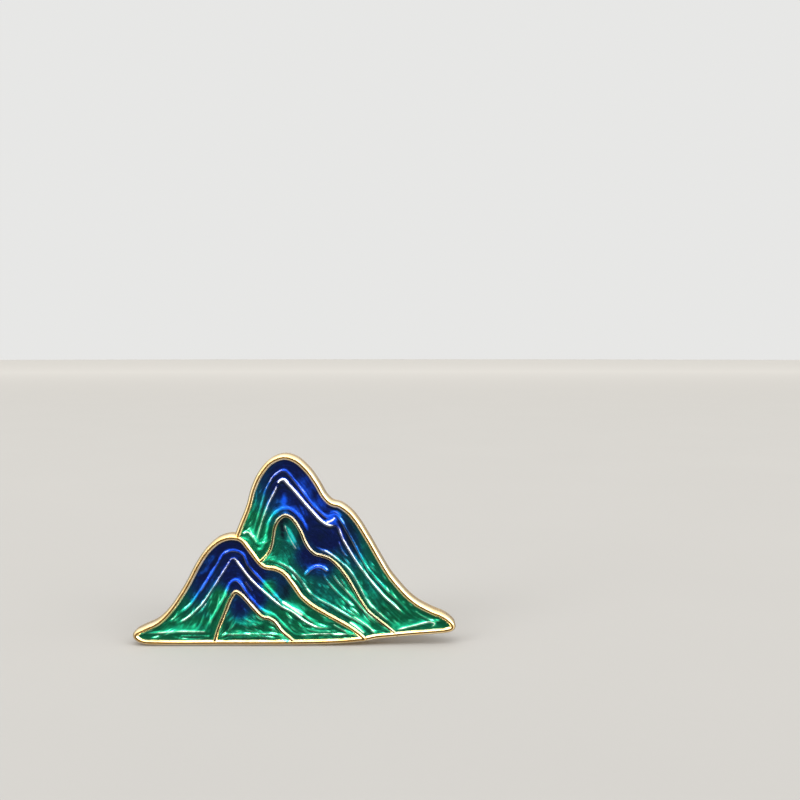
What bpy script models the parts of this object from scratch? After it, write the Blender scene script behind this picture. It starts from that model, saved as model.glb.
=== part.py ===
"""Two-peak mountain enamel pin with two needle posts and two butterfly clutches.

Run with: blender --background --python part.py

The pin stands upright as it is worn: +X to the wearer's left, +Z up, the enamel faces -Y and
the posts and clutches stand out of the back along +Y. The origin is on the back of the casting,
in the middle of its width. Lengths are in millimetres and are turned into metres as solids are made.
"""
import math

import bmesh
import bpy
import numpy as np
from mathutils import Matrix

MM = 0.001

# Driving dimensions, in millimetres.
ORIGIN_HEIGHT = 11.0        # from the lowest edge of the casting up to the origin
CASTING_THICKNESS = 2.0
RECESS_DEPTH = 0.7          # enamel recess, below the rim
RIM_WIDTH = 0.72            # outer wall of the casting, seen from the front
EDGE_BEVEL = 0.3
ENAMEL_LEVEL = 0.25         # top of the enamel, below the rim
SEAT_GAP = 0.03             # between a piece and what it is fixed to
FINE_STEP = 0.1             # spacing of the points on a line while its outline is worked out
OUTLINE_TURN = 11.0         # degrees that a solid's outline turns between its points, at most
OUTLINE_RUN = 2.5           # and the longest run between them

POST_PLACES = {"left": -8.0, "right": 5.7}      # so that both clutches hide behind the casting
POST_HEIGHT = 5.6           # of the post axes, above the lowest edge of the casting
POST_LENGTH = 8.2
POST_RADIUS = 0.55
POST_HEAD_RADIUS = 1.6
POST_HEAD_THICKNESS = 0.25
SOLDER_RADIUS = 2.3
SOLDER_HEIGHT = 0.3
PLAQUE = (6.4, 4.0, 0.1)    # smooth blank land on the back: width, height, how far it stands out

GARMENT_GAP = 2.3           # cloth space between the casting and a clutch
CAP_RADIUS = 5.4
CAP_WALL = 0.3
CAP_HEIGHT = 2.4
CAP_HOLE_RADIUS = 0.75
SPRING_THICKNESS = 0.28
BRIDGE_WIDTH = 2.4
JAW_RADIUS = 0.6
HINGE = (4.1, 4.0)          # wing bend line: out from the post axis, and back from the casting
EAR_WIDTH = 4.6
CLUTCH_TURN = {"left": math.radians(45), "right": math.radians(135)}

# Front view, in millimetres from the middle and from the lowest edge. The two edge lines go
# clockwise around the pin. Each wall line runs along the middle of a wall, and reaches into the
# wall that it ends at.
FRONT_PEAK_EDGE = [
    (8.7, 0.5), (7.5, 0.35), (6.1, 0.22), (3.4, 0.08), (-0.6, 0.02), (-8.0, 0.0), (-16.2, 0.0),
    (-18.0, 0.12), (-18.9, 0.55), (-19.3, 1.15), (-18.95, 1.75), (-17.9, 2.3), (-16.5, 2.95),
    (-15.6, 3.7), (-14.6, 4.85), (-13.0, 7.3), (-11.5, 10.1), (-10.3, 11.8), (-8.9, 12.95),
    (-7.6, 13.35), (-6.95, 13.35)]
BACK_PEAK_EDGE = [
    (-6.95, 13.35), (-6.5, 14.5), (-5.6, 16.75), (-5.0, 18.9), (-4.1, 20.8), (-2.75, 22.3),
    (-1.1, 22.9), (0.4, 22.5), (1.9, 21.2), (3.1, 19.5), (3.9, 18.1), (4.6, 17.4), (5.6, 17.1),
    (6.8, 16.25), (7.8, 15.05), (9.1, 12.95), (10.6, 10.3), (11.5, 8.8), (12.6, 7.4),
    (13.7, 6.2), (14.8, 5.3), (16.6, 4.35), (17.7, 3.9), (18.6, 3.3), (19.15, 2.65),
    (19.2, 2.1), (18.85, 1.7), (18.2, 1.5), (16.9, 1.35), (14.2, 1.15), (11.5, 0.9),
    (9.9, 0.75), (8.7, 0.5)]
FRONT_PEAK_WALL = [
    (-7.4, 13.1), (-6.2, 12.75), (-5.2, 11.55), (-4.1, 10.1), (-3.4, 9.5), (-2.2, 9.3),
    (-1.2, 8.8), (0.0, 7.3), (0.9, 6.0), (2.0, 5.0), (3.7, 3.95), (5.4, 3.0), (6.9, 2.1),
    (8.1, 1.15), (8.8, 0.4)]
SMALL_PEAK_WALL = [
    (-9.5, 0.3), (-9.0, 1.95), (-8.2, 3.95), (-7.5, 5.65), (-6.9, 6.45), (-6.35, 6.2),
    (-5.7, 5.55), (-4.7, 4.4), (-3.8, 3.5), (-2.9, 3.25), (-2.3, 2.85), (-1.5, 1.8),
    (-0.6, 1.0), (0.2, 0.3)]
INNER_PEAK_WALL = [
    (-4.2, 9.9), (-3.6, 10.4), (-3.0, 11.1), (-2.6, 12.0), (-2.4, 13.1), (-2.2, 14.2),
    (-1.75, 15.1), (-1.0, 15.6), (-0.3, 15.35), (0.3, 14.65), (0.9, 13.6), (1.35, 12.5),
    (1.9, 11.6), (2.6, 11.0), (3.3, 10.8), (4.2, 10.5), (5.1, 9.75), (6.2, 8.35), (7.0, 7.05),
    (7.9, 5.45), (8.8, 4.15), (9.9, 3.2), (11.1, 2.25), (12.0, 1.5), (12.8, 0.8)]
WALLS = [(FRONT_PEAK_WALL, 0.66), (SMALL_PEAK_WALL, 0.56), (INNER_PEAK_WALL, 0.5)]

# A point inside each recess, which names the enamel that fills it.
CELLS = {
    "enamel_front_mountain": (-12.0, 5.0),
    "enamel_front_small_peak": (-6.0, 2.5),
    "enamel_back_mountain": (-1.0, 19.0),
    "enamel_back_inner_peak": (2.0, 8.0),
}


# ---------------------------------------------------------------- scene and materials

for old in list(bpy.data.objects):
    bpy.data.objects.remove(old, do_unlink=True)

pin_parts = bpy.data.collections.new("enamel_pin")
cutters = bpy.data.collections.new("cutters")
for collection in (pin_parts, cutters):
    bpy.context.scene.collection.children.link(collection)


def material(name, color, roughness, metallic):
    """A Principled material of one colour."""
    made = bpy.data.materials.new(name)
    made.use_nodes = True
    shader = made.node_tree.nodes["Principled BSDF"]
    shader.inputs["Base Color"].default_value = (*color, 1.0)
    shader.inputs["Roughness"].default_value = roughness
    shader.inputs["Metallic"].default_value = metallic
    return made


GOLD_PLATE = material("gold_plate", (0.80, 0.55, 0.26), 0.22, 1.0)
STEEL = material("plated_steel", (0.76, 0.62, 0.38), 0.25, 1.0)
SOLDER = material("solder", (0.62, 0.60, 0.56), 0.4, 1.0)
BRASS = material("stamped_brass", (0.78, 0.58, 0.28), 0.3, 1.0)
ENAMELS = {
    "enamel_front_mountain": material("enamel_deep_blue", (0.02, 0.09, 0.42), 0.12, 0.0),
    "enamel_front_small_peak": material("enamel_green", (0.03, 0.34, 0.22), 0.12, 0.0),
    "enamel_back_mountain": material("enamel_blue", (0.02, 0.12, 0.46), 0.12, 0.0),
    "enamel_back_inner_peak": material("enamel_teal", (0.02, 0.36, 0.33), 0.12, 0.0),
}


# ---------------------------------------------------------------- lines and solids

def smooth_line(points, step=FINE_STEP):
    """Even points along the centripetal Catmull-Rom curve through the given points."""
    p = np.array(points, dtype=float)
    p = np.vstack([2 * p[0] - p[1], p, 2 * p[-1] - p[-2]])
    fine = []
    for a, b, c, d in zip(p, p[1:], p[2:], p[3:]):
        t0 = 0.0
        t1 = t0 + math.sqrt(np.linalg.norm(b - a))
        t2 = t1 + math.sqrt(np.linalg.norm(c - b))
        t3 = t2 + math.sqrt(np.linalg.norm(d - c))
        t = np.linspace(t1, t2, 24, endpoint=False)[:, None]
        ab = (t1 - t) / (t1 - t0) * a + (t - t0) / (t1 - t0) * b
        bc = (t2 - t) / (t2 - t1) * b + (t - t1) / (t2 - t1) * c
        cd = (t3 - t) / (t3 - t2) * c + (t - t2) / (t3 - t2) * d
        abc = (t2 - t) / (t2 - t0) * ab + (t - t0) / (t2 - t0) * bc
        bcd = (t3 - t) / (t3 - t1) * bc + (t - t1) / (t3 - t1) * cd
        fine.append((t2 - t) / (t2 - t1) * abc + (t - t1) / (t2 - t1) * bcd)
    fine = np.vstack(fine + [p[-2:-1]])
    along = np.r_[0, np.cumsum(np.linalg.norm(np.diff(fine, axis=0), axis=1))]
    even = np.linspace(0, along[-1], max(2, round(along[-1] / step)) + 1)
    return np.column_stack([np.interp(even, along, fine[:, k]) for k in (0, 1)])


def left_normals(line, closed=False):
    """Unit vectors to the left of a line's direction at each of its points."""
    if closed:
        run = np.roll(line, -1, axis=0) - np.roll(line, 1, axis=0)
    else:
        run = np.gradient(line, axis=0)
    return np.column_stack([-run[:, 1], run[:, 0]]) / np.linalg.norm(run, axis=1)[:, None]


def offset(line, distance, closed=False):
    """A line moved to its left, without the points that then lie too close to another stretch."""
    moved = line + left_normals(line, closed) * distance
    gaps = np.linalg.norm(moved[:, None] - line[None], axis=2).min(axis=1)
    return moved[gaps > abs(distance) * 0.99999]


def strip(line, width):
    """The closed outline of a strip of constant width along an open line."""
    return np.vstack([offset(line, width / 2), offset(line, -width / 2)[::-1]])


def thinned(outline):
    """A closed outline with points only as close as its curves need."""
    run = np.roll(outline, -1, axis=0) - outline
    length = np.linalg.norm(run, axis=1)
    heading = np.arctan2(run[:, 1], run[:, 0])
    turn = np.abs((np.diff(heading, prepend=heading[-1]) + math.pi) % (2 * math.pi) - math.pi)
    spent = np.cumsum(np.degrees(turn) / OUTLINE_TURN + np.roll(length, 1) / OUTLINE_RUN)
    return outline[np.diff(np.floor(spent), prepend=-1) > 0]


def new_object(name, mesh, look, collection=pin_parts):
    """An object of a mesh, in its collection and with its material."""
    made = bpy.data.objects.new(name, mesh)
    collection.objects.link(made)
    if look:
        mesh.materials.clear()
        mesh.materials.append(look)
    if collection is cutters:
        made.hide_render = True
        made.display_type = "WIRE"
    return made


def baked(source):
    """A welded mesh of an object as its modifiers leave it, in world space."""
    graph = bpy.context.evaluated_depsgraph_get()
    graph.update()
    mesh = bpy.data.meshes.new_from_object(source.evaluated_get(graph))
    mesh.transform(source.matrix_world)
    edit = bmesh.new()
    edit.from_mesh(mesh)
    bmesh.ops.remove_doubles(edit, verts=edit.verts, dist=1e-7)
    edit.to_mesh(mesh)
    edit.free()
    return mesh


def plate(name, outline, front, back, look=None, collection=cutters):
    """A flat plate with a front-view outline, from depth front to depth back along Y."""
    outline = thinned(outline)
    curve = bpy.data.curves.new(name, "CURVE")
    curve.dimensions = "2D"
    curve.fill_mode = "BOTH"
    curve.extrude = abs(back - front) / 2 * MM
    spline = curve.splines.new("POLY")
    spline.points.add(len(outline) - 1)
    flat = np.column_stack([outline * MM, np.zeros(len(outline)), np.ones(len(outline))])
    spline.points.foreach_set("co", flat.ravel())
    spline.use_cyclic_u = True
    drawn = bpy.data.objects.new(name + "_outline", curve)
    cutters.objects.link(drawn)
    drawn.location.y = (front + back) / 2 * MM
    drawn.rotation_euler.x = math.radians(90)
    bpy.context.view_layer.update()
    made = new_object(name, baked(drawn), look, collection)
    bpy.data.objects.remove(drawn)
    return made


def cut(target, tool, operation="DIFFERENCE"):
    """A Boolean of target with tool."""
    step = target.modifiers.new(tool.name, "BOOLEAN")
    step.object = tool
    step.operation = operation
    step.solver = "EXACT"
    step.use_self = True


def turned(name, profile, look, collection=pin_parts, steps=28):
    """A solid turned around Z from a (radius, height) profile that runs down its outer side."""
    mesh = bpy.data.meshes.new(name)
    points = [(radius * MM, 0.0, height * MM) for radius, height in profile]
    edges = [(k, (k + 1) % len(points)) for k in range(len(points))]
    if profile[0][0] == 0:
        edges.pop()
    mesh.from_pydata(points, edges, [])
    made = new_object(name, mesh, look, collection)
    spin = made.modifiers.new("turning", "SCREW")
    spin.steps = steps
    spin.render_steps = steps
    spin.use_merge_vertices = True
    spin.merge_threshold = 0.000001
    return made


def shade(target, angle=35):
    """Smooth shading with sharp edges kept."""
    target.data.shade_smooth()
    target.data.set_sharp_from_angle(angle=math.radians(angle))


def front_view(points):
    """Front-view points moved from the lowest edge to the origin's height."""
    return np.array(points, dtype=float) - (0.0, ORIGIN_HEIGHT)


# ---------------------------------------------------------------- casting and enamel

outline = np.vstack([smooth_line(front_view(FRONT_PEAK_EDGE))[:-1],
                     smooth_line(front_view(BACK_PEAK_EDGE))[:-1]])


def recesses(name, clearance, front, back):
    """The four recess spaces as one cutter, each shrunk on all sides by the clearance."""
    made = plate(name, offset(outline, -RIM_WIDTH - clearance, closed=True), front, back)
    for k, (wall, width) in enumerate(WALLS):
        band = strip(smooth_line(front_view(wall)), width + 2 * clearance)
        cut(made, plate(f"{name}_wall_{k}", band, front - 1, back + 1))
    return made


def islands(mesh):
    """The separate closed bodies of a mesh, as lists of faces of a new bmesh."""
    edit = bmesh.new()
    edit.from_mesh(mesh)
    left = set(edit.faces)
    bodies = []
    while left:
        body = set()
        queue = [left.pop()]
        while queue:
            face = queue.pop()
            body.add(face)
            for edge in face.edges:
                for other in edge.link_faces:
                    if other in left:
                        left.remove(other)
                        queue.append(other)
        bodies.append(body)
    return edit, bodies


def make_casting():
    """The die-cast body: a bevelled block with four recesses and a blank land on its back."""
    block = plate("base_casting", outline, -CASTING_THICKNESS, 0.0, GOLD_PLATE, pin_parts)
    edges = block.modifiers.new("rounded_edge", "BEVEL")
    edges.width = EDGE_BEVEL * MM
    edges.segments = 1
    edges.limit_method = "ANGLE"
    edges.angle_limit = math.radians(60)
    floor = -CASTING_THICKNESS + RECESS_DEPTH
    cut(block, recesses("recess", 0.0, -CASTING_THICKNESS - 1, floor))
    width, height, proud = PLAQUE
    turn = np.linspace(0, 2 * math.pi, 32, endpoint=False)
    oval = np.column_stack([width / 2 * np.cos(turn), height / 2 * np.sin(turn)])
    cut(block, plate("plaque", oval, -0.5, proud), "UNION")
    shade(block)


def make_enamels():
    """One enamel fill for each recess, just clear of its floor and walls."""
    back = -CASTING_THICKNESS + RECESS_DEPTH - SEAT_GAP
    fills = recesses("fill", SEAT_GAP, -CASTING_THICKNESS + ENAMEL_LEVEL, back)
    bpy.context.view_layer.update()
    edit, bodies = islands(baked(fills))
    for name, (x, z) in CELLS.items():
        middle = np.array([x, z - ORIGIN_HEIGHT]) * MM

        def distance(body):
            corners = np.array([v.co for face in body for v in face.verts])
            return np.linalg.norm(corners[:, [0, 2]] - middle, axis=1).min()

        own = min(bodies, key=distance)
        single = edit.copy()
        single.faces.ensure_lookup_table()
        keep = {face.index for face in own}
        spare = [face for face in single.faces if face.index not in keep]
        bmesh.ops.delete(single, geom=spare, context="FACES")
        mesh = bpy.data.meshes.new(name)
        single.to_mesh(mesh)
        single.free()
        shade(new_object(name, mesh, ENAMELS[name]))
    edit.free()


# ---------------------------------------------------------------- posts and clutches

def make_post(side, mount):
    """A needle post with its flat head on the back of the casting, and its ring of solder."""
    base = SEAT_GAP
    tip = POST_LENGTH
    post = turned(f"{side}_needle_post", [
        (0.0, tip), (0.12, tip - 0.05), (0.2, tip - 0.2), (POST_RADIUS, tip - 1.3),
        (POST_RADIUS, tip - 1.9), (POST_RADIUS - 0.12, tip - 2.02),
        (POST_RADIUS - 0.12, tip - 2.25), (POST_RADIUS, tip - 2.37),
        (POST_RADIUS, base + POST_HEAD_THICKNESS + 0.15),
        (POST_RADIUS + 0.15, base + POST_HEAD_THICKNESS),
        (POST_HEAD_RADIUS - 0.05, base + POST_HEAD_THICKNESS),
        (POST_HEAD_RADIUS, base + POST_HEAD_THICKNESS - 0.05),
        (POST_HEAD_RADIUS, base), (0.0, base)], STEEL, steps=20)
    inner = POST_HEAD_RADIUS + SEAT_GAP
    solder = turned(f"{side}_solder_ring", [
        (inner, base + SOLDER_HEIGHT), (inner + 0.15, base + SOLDER_HEIGHT - 0.04),
        (inner + 0.32, base + SOLDER_HEIGHT * 0.4), (SOLDER_RADIUS - 0.05, base + 0.05),
        (SOLDER_RADIUS, base), (inner, base)], SOLDER)
    for piece in (post, solder):
        piece.parent = mount
        shade(piece)


def make_cap(side, mount):
    """The drawn brass cup of a clutch, with a lip around its open back and a funnelled hole."""
    face = GARMENT_GAP
    rim = face + CAP_HEIGHT
    inner = CAP_RADIUS - CAP_WALL
    cap = turned(f"{side}_clutch_cap", [
        (inner + 0.08, rim), (CAP_RADIUS - 0.08, rim), (CAP_RADIUS, rim - 0.08),
        (CAP_RADIUS, face + 0.6), (CAP_RADIUS - 0.18, face + 0.18), (CAP_RADIUS - 0.6, face),
        (CAP_HOLE_RADIUS + 0.2, face), (CAP_HOLE_RADIUS, face + 0.12),
        (CAP_HOLE_RADIUS, face + CAP_WALL), (inner, face + CAP_WALL),
        (inner, rim - 0.08)], BRASS, steps=36)
    cap.parent = mount
    shade(cap)


def bent_strip(name, line, width):
    """A flat spring strip, bent along a line in a plane through the post axis."""
    return plate(name, strip(smooth_line(line), SPRING_THICKNESS), -width / 2, width / 2)


def needle_hole(name, radius):
    """A cutter around the post axis, which is Z here."""
    return turned(name, [(0.0, 20.0), (radius, 20.0), (radius, -1.0), (0.0, -1.0)], None,
                  cutters, steps=20)


def make_bridge_mesh():
    """The middle of the spring: a flat strip with a hole and two turned-up ends."""
    level = GARMENT_GAP + CAP_WALL + SEAT_GAP + SPRING_THICKNESS / 2
    end = 4.7
    half = [(0.0, level), (2.0, level), (end - 0.8, level), (end - 0.25, level + 0.09),
            (end, level + 0.45), (end, level + 0.85)]
    line = [(-u, s) for u, s in half[:0:-1]] + half
    bridge = bent_strip("bridge_blank", line, BRIDGE_WIDTH)
    cut(bridge, needle_hole("bridge_hole", CAP_HOLE_RADIUS))
    bpy.context.view_layer.update()
    return baked(bridge)


def make_wing_mesh():
    """One wing of the spring, around its bend line: a notched jaw, and a curved rounded ear."""
    out, back = HINGE
    side = [(0.25, back), (1.5, back), (out - 0.5, back), (out, back + 0.18),
            (out + 0.35, back + 0.75), (out + 0.75, back + 1.9), (out + 1.35, back + 2.9),
            (out + 2.2, back + 3.75)]
    wing = bent_strip("wing_blank", side, EAR_WIDTH)
    cut(wing, needle_hole("jaw_notch", JAW_RADIUS))
    half = [(0.0, 0.8), (0.3, 1.35), (1.0, 1.6), (2.4, 1.6), (3.4, 1.6), (4.2, 1.75),
            (4.9, EAR_WIDTH / 2 - 0.12), (5.4, EAR_WIDTH / 2 - 0.02),
            (5.9, EAR_WIDTH / 2 - 0.3), (6.3, 1.2), (6.45, 0.0)]
    line = smooth_line(half)
    plan = np.vstack([line, (line * (1, -1))[-2::-1]])
    shape = plate("wing_plan", plan, -10, 10)
    shape.rotation_euler.x = math.radians(90)
    cut(wing, shape, "INTERSECT")
    bpy.context.view_layer.update()
    mesh = baked(wing)
    mesh.transform(Matrix.Translation((-out * MM, 0, -back * MM)))
    return mesh


def make_clutches():
    """Both posts, and on each a cap and its spring: one bridge and two wings."""
    bridge_mesh = make_bridge_mesh()
    wing_mesh = make_wing_mesh()
    for side, place in POST_PLACES.items():
        mount = bpy.data.objects.new(f"{side}_post_axis", None)
        pin_parts.objects.link(mount)
        mount.location = (place * MM, 0, (POST_HEIGHT - ORIGIN_HEIGHT) * MM)
        mount.rotation_euler = (math.radians(-90), -CLUTCH_TURN[side], 0)
        make_post(side, mount)
        make_cap(side, mount)
        bridge = new_object(f"{side}_clutch_spring_bridge", bridge_mesh, BRASS)
        bridge.parent = mount
        for letter, turn in (("a", 0), ("b", math.pi)):
            wing = new_object(f"{side}_clutch_wing_{letter}", wing_mesh, BRASS)
            wing.parent = mount
            wing.location = (HINGE[0] * math.cos(turn) * MM, 0, HINGE[1] * MM)
            wing.rotation_euler.z = turn
            shade(wing)


make_casting()
make_enamels()
make_clutches()
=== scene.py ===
"""Mountain enamel pin, 38 mm wide: a gold-plated casting whose rims and walls hold four
translucent enamels over flowing relief, with two needle posts and butterfly clutches behind.

The pin stands upright: +X to the right, +Z up, the enamel faces -Y. Lengths are in
millimetres, and are turned into metres where a mesh is made.
"""
import math

import bmesh
import bpy
import numpy as np
from mathutils import Matrix, Vector


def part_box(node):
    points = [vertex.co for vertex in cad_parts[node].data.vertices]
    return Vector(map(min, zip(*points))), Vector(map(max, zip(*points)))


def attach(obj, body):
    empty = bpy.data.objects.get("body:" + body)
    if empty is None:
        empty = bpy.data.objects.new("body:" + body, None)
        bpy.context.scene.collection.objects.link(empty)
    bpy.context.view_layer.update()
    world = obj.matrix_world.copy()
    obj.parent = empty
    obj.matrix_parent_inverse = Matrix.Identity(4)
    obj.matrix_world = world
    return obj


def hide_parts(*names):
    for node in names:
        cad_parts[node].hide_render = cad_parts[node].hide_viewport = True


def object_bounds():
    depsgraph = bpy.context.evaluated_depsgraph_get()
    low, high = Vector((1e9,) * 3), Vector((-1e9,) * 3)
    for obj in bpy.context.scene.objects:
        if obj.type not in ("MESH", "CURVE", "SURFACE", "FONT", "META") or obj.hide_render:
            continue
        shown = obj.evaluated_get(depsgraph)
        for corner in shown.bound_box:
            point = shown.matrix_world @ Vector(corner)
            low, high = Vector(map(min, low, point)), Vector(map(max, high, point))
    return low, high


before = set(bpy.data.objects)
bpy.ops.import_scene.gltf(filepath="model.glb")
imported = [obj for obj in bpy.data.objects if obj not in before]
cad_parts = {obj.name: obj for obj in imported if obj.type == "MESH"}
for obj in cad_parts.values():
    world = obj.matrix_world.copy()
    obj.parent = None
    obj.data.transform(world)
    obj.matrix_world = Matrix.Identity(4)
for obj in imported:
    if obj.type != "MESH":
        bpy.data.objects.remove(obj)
cad_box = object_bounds()


# ---------------------------------------------------------------- gold rims and walls
# The raised rims and walls of the die-cast zinc body, polished and plated with gold. The rim
# of the front mountain is one loop, and the rim of the back mountain runs in behind it. Two
# finer walls part the enamels inside the mountains.

MM = 0.001
ORIGIN_HEIGHT = 11.0        # of the origin, above the lowest edge
RIM_HALF = 0.36             # half the width of a rim
RIM_TOP = -2.0              # depth of the crests of the rims
SHOULDER = -1.42            # where an outer wall turns into its bevel
LINE_STEP = 0.07            # between two points of a rim or a wall
BEND_REACH = 0.94           # the share of a bend's radius that an offset inside it may take
NEARLY_STRAIGHT = 0.01      # bends gentler than this, per millimetre, count as straight
BEND_BLUR = 4               # points on either side that a bend is evened over
WALL_END = 9                # points that the inner peak's wall stops short of the bottom rim
LOOP_RIGHT = 7.9            # where the bottom rim turns up into the front mountain's flank
LOOP_TOP = 4                # points that the left flank stops short of the top of the loop
FLANK_START = -6.7          # across, where the right flank of that loop begins
FLANK_END = -10.25          # up, where it ends above the bottom rim

PALE_GOLD = (1.0, 0.87, 0.58)
WARM_GOLD = (1.0, 0.78, 0.42)
# A darker orange gold for the crests: a painted dark reflection.
PAINTED_DARK_CREST_GOLD = (0.82, 0.47, 0.12)
SATIN_GOLD = (0.80, 0.55, 0.26)

# Front view, from the middle and from the lowest edge, clockwise around the pin.
FRONT_PEAK_EDGE = [
    (8.7, 0.5), (7.5, 0.35), (6.1, 0.22), (3.4, 0.08), (-0.6, 0.02), (-8.0, 0.0), (-16.2, 0.0),
    (-18.0, 0.12), (-18.9, 0.55), (-19.3, 1.15), (-18.95, 1.75), (-17.9, 2.3), (-16.5, 2.95),
    (-15.6, 3.7), (-14.6, 4.85), (-13.0, 7.3), (-11.5, 10.1), (-10.3, 11.8), (-8.9, 12.95),
    (-7.6, 13.35), (-6.95, 13.35)]
BACK_PEAK_EDGE = [
    (-6.95, 13.35), (-6.5, 14.5), (-5.6, 16.75), (-5.0, 18.9), (-4.1, 20.8), (-2.75, 22.3),
    (-1.1, 22.9), (0.4, 22.5), (1.9, 21.2), (3.1, 19.5), (3.9, 18.1), (4.6, 17.4), (5.6, 17.1),
    (6.8, 16.25), (7.8, 15.05), (9.1, 12.95), (10.6, 10.3), (11.5, 8.8), (12.6, 7.4),
    (13.7, 6.2), (14.8, 5.3), (16.6, 4.35), (17.7, 3.9), (18.6, 3.3), (19.15, 2.65),
    (19.2, 2.1), (18.85, 1.7), (18.2, 1.5), (16.9, 1.35), (14.2, 1.15), (11.5, 0.9),
    (9.9, 0.75), (8.7, 0.5)]
FRONT_PEAK_WALL = [
    (-7.4, 13.1), (-6.2, 12.75), (-5.2, 11.55), (-4.1, 10.1), (-3.4, 9.5), (-2.2, 9.3),
    (-1.2, 8.8), (0.0, 7.3), (0.9, 6.0), (2.0, 5.0), (3.7, 3.95), (5.4, 3.0), (6.9, 2.1),
    (8.1, 1.15), (8.8, 0.4)]
SMALL_PEAK_WALL = [
    (-9.5, 0.3), (-9.0, 1.95), (-8.2, 3.95), (-7.5, 5.65), (-6.9, 6.45), (-6.35, 6.2),
    (-5.7, 5.55), (-4.7, 4.4), (-3.8, 3.5), (-2.9, 3.25), (-2.3, 2.85), (-1.5, 1.8),
    (-0.6, 1.0), (0.2, 0.3)]
INNER_PEAK_WALL = [
    (-4.2, 9.9), (-3.6, 10.4), (-3.0, 11.1), (-2.6, 12.0), (-2.4, 13.1), (-2.2, 14.2),
    (-1.75, 15.1), (-1.0, 15.6), (-0.3, 15.35), (0.3, 14.65), (0.9, 13.6), (1.35, 12.5),
    (1.9, 11.6), (2.6, 11.0), (3.3, 10.8), (4.2, 10.5), (5.1, 9.75), (6.2, 8.35), (7.0, 7.05),
    (7.9, 5.45), (8.8, 4.15), (9.9, 3.2), (11.1, 2.25), (12.0, 1.5), (12.8, 0.8)]


def even(line, step):
    """Points at even distances along a polyline."""
    along = np.r_[0, np.cumsum(np.linalg.norm(np.diff(line, axis=0), axis=1))]
    places = np.linspace(0, along[-1], max(2, round(along[-1] / step)) + 1)
    return np.column_stack([np.interp(places, along, line[:, k]) for k in (0, 1)])


def smooth_line(points, step=LINE_STEP, height=ORIGIN_HEIGHT):
    """Even points on the centripetal Catmull-Rom curve through points of the front view."""
    p = np.array(points, dtype=float) - (0.0, height)
    p = np.vstack([2 * p[0] - p[1], p, 2 * p[-1] - p[-2]])
    knots = np.r_[0, np.cumsum(np.sqrt(np.linalg.norm(np.diff(p, axis=0), axis=1)))]
    samples = 40 * len(p)
    t = np.linspace(knots[1], knots[-2], samples)
    k = np.clip(np.searchsorted(knots, t, side="right") - 1, 1, len(p) - 3)
    t = t[:, None]
    k0, k1, k2, k3 = (knots[k + j][:, None] for j in (-1, 0, 1, 2))
    p0, p1, p2, p3 = (p[k + j] for j in (-1, 0, 1, 2))
    ab = ((k1 - t) * p0 + (t - k0) * p1) / (k1 - k0)
    bc = ((k2 - t) * p1 + (t - k1) * p2) / (k2 - k1)
    cd = ((k3 - t) * p2 + (t - k2) * p3) / (k3 - k2)
    abc = ((k2 - t) * ab + (t - k0) * bc) / (k2 - k0)
    bcd = ((k3 - t) * bc + (t - k1) * cd) / (k3 - k1)
    return even(((k2 - t) * abc + (t - k1) * bcd) / (k2 - k1), step)


def inward(edge, distance):
    """A clockwise edge moved to its right, that is into the pin."""
    run = np.gradient(edge, axis=0)
    right = np.column_stack([run[:, 1], -run[:, 0]])
    return edge + right / np.linalg.norm(run, axis=1)[:, None] * distance


def closed_loop(line, reach=3, step=LINE_STEP):
    """A polyline closed on itself, with its corners rounded by a running mean of its points."""
    loop = even(np.vstack([line, line[:1]]), step)[:-1]
    return sum(np.roll(loop, k, axis=0) for k in range(-reach, reach + 1)) / (2 * reach + 1)


def skin(name, grid, closed_along=False, closed_across=True, capped=False):
    """A mesh object on a grid of points (along, across, xyz), which may close on itself."""
    rows, columns = grid.shape[:2]
    number = np.arange(rows * columns).reshape(rows, columns)
    if closed_along:
        number = np.vstack([number, number[:1]])
    if closed_across:
        number = np.hstack([number, number[:, :1]])
    quads = np.stack([number[:-1, :-1], number[1:, :-1], number[1:, 1:], number[:-1, 1:]], axis=2)
    faces = quads.reshape(-1, 4).tolist()
    if capped:
        faces += [number[0, :columns].tolist(), number[rows - 1, :columns][::-1].tolist()]
    mesh = bpy.data.meshes.new(name)
    mesh.from_pydata((grid.reshape(-1, 3) * MM).tolist(), [], faces)
    made = bpy.data.objects.new(name, mesh)
    bpy.context.scene.collection.objects.link(made)
    return made


def closed_skin(made, crease=30):
    """Weld a closed skin, turn its faces outwards, and shade it smooth between its creases."""
    edit = bmesh.new()
    edit.from_mesh(made.data)
    bmesh.ops.remove_doubles(edit, verts=edit.verts, dist=1e-7)
    bmesh.ops.recalc_face_normals(edit, faces=edit.faces)
    edit.to_mesh(made.data)
    edit.free()
    made.data.shade_smooth()
    made.data.set_sharp_from_angle(angle=math.radians(crease))
    return made


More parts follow.
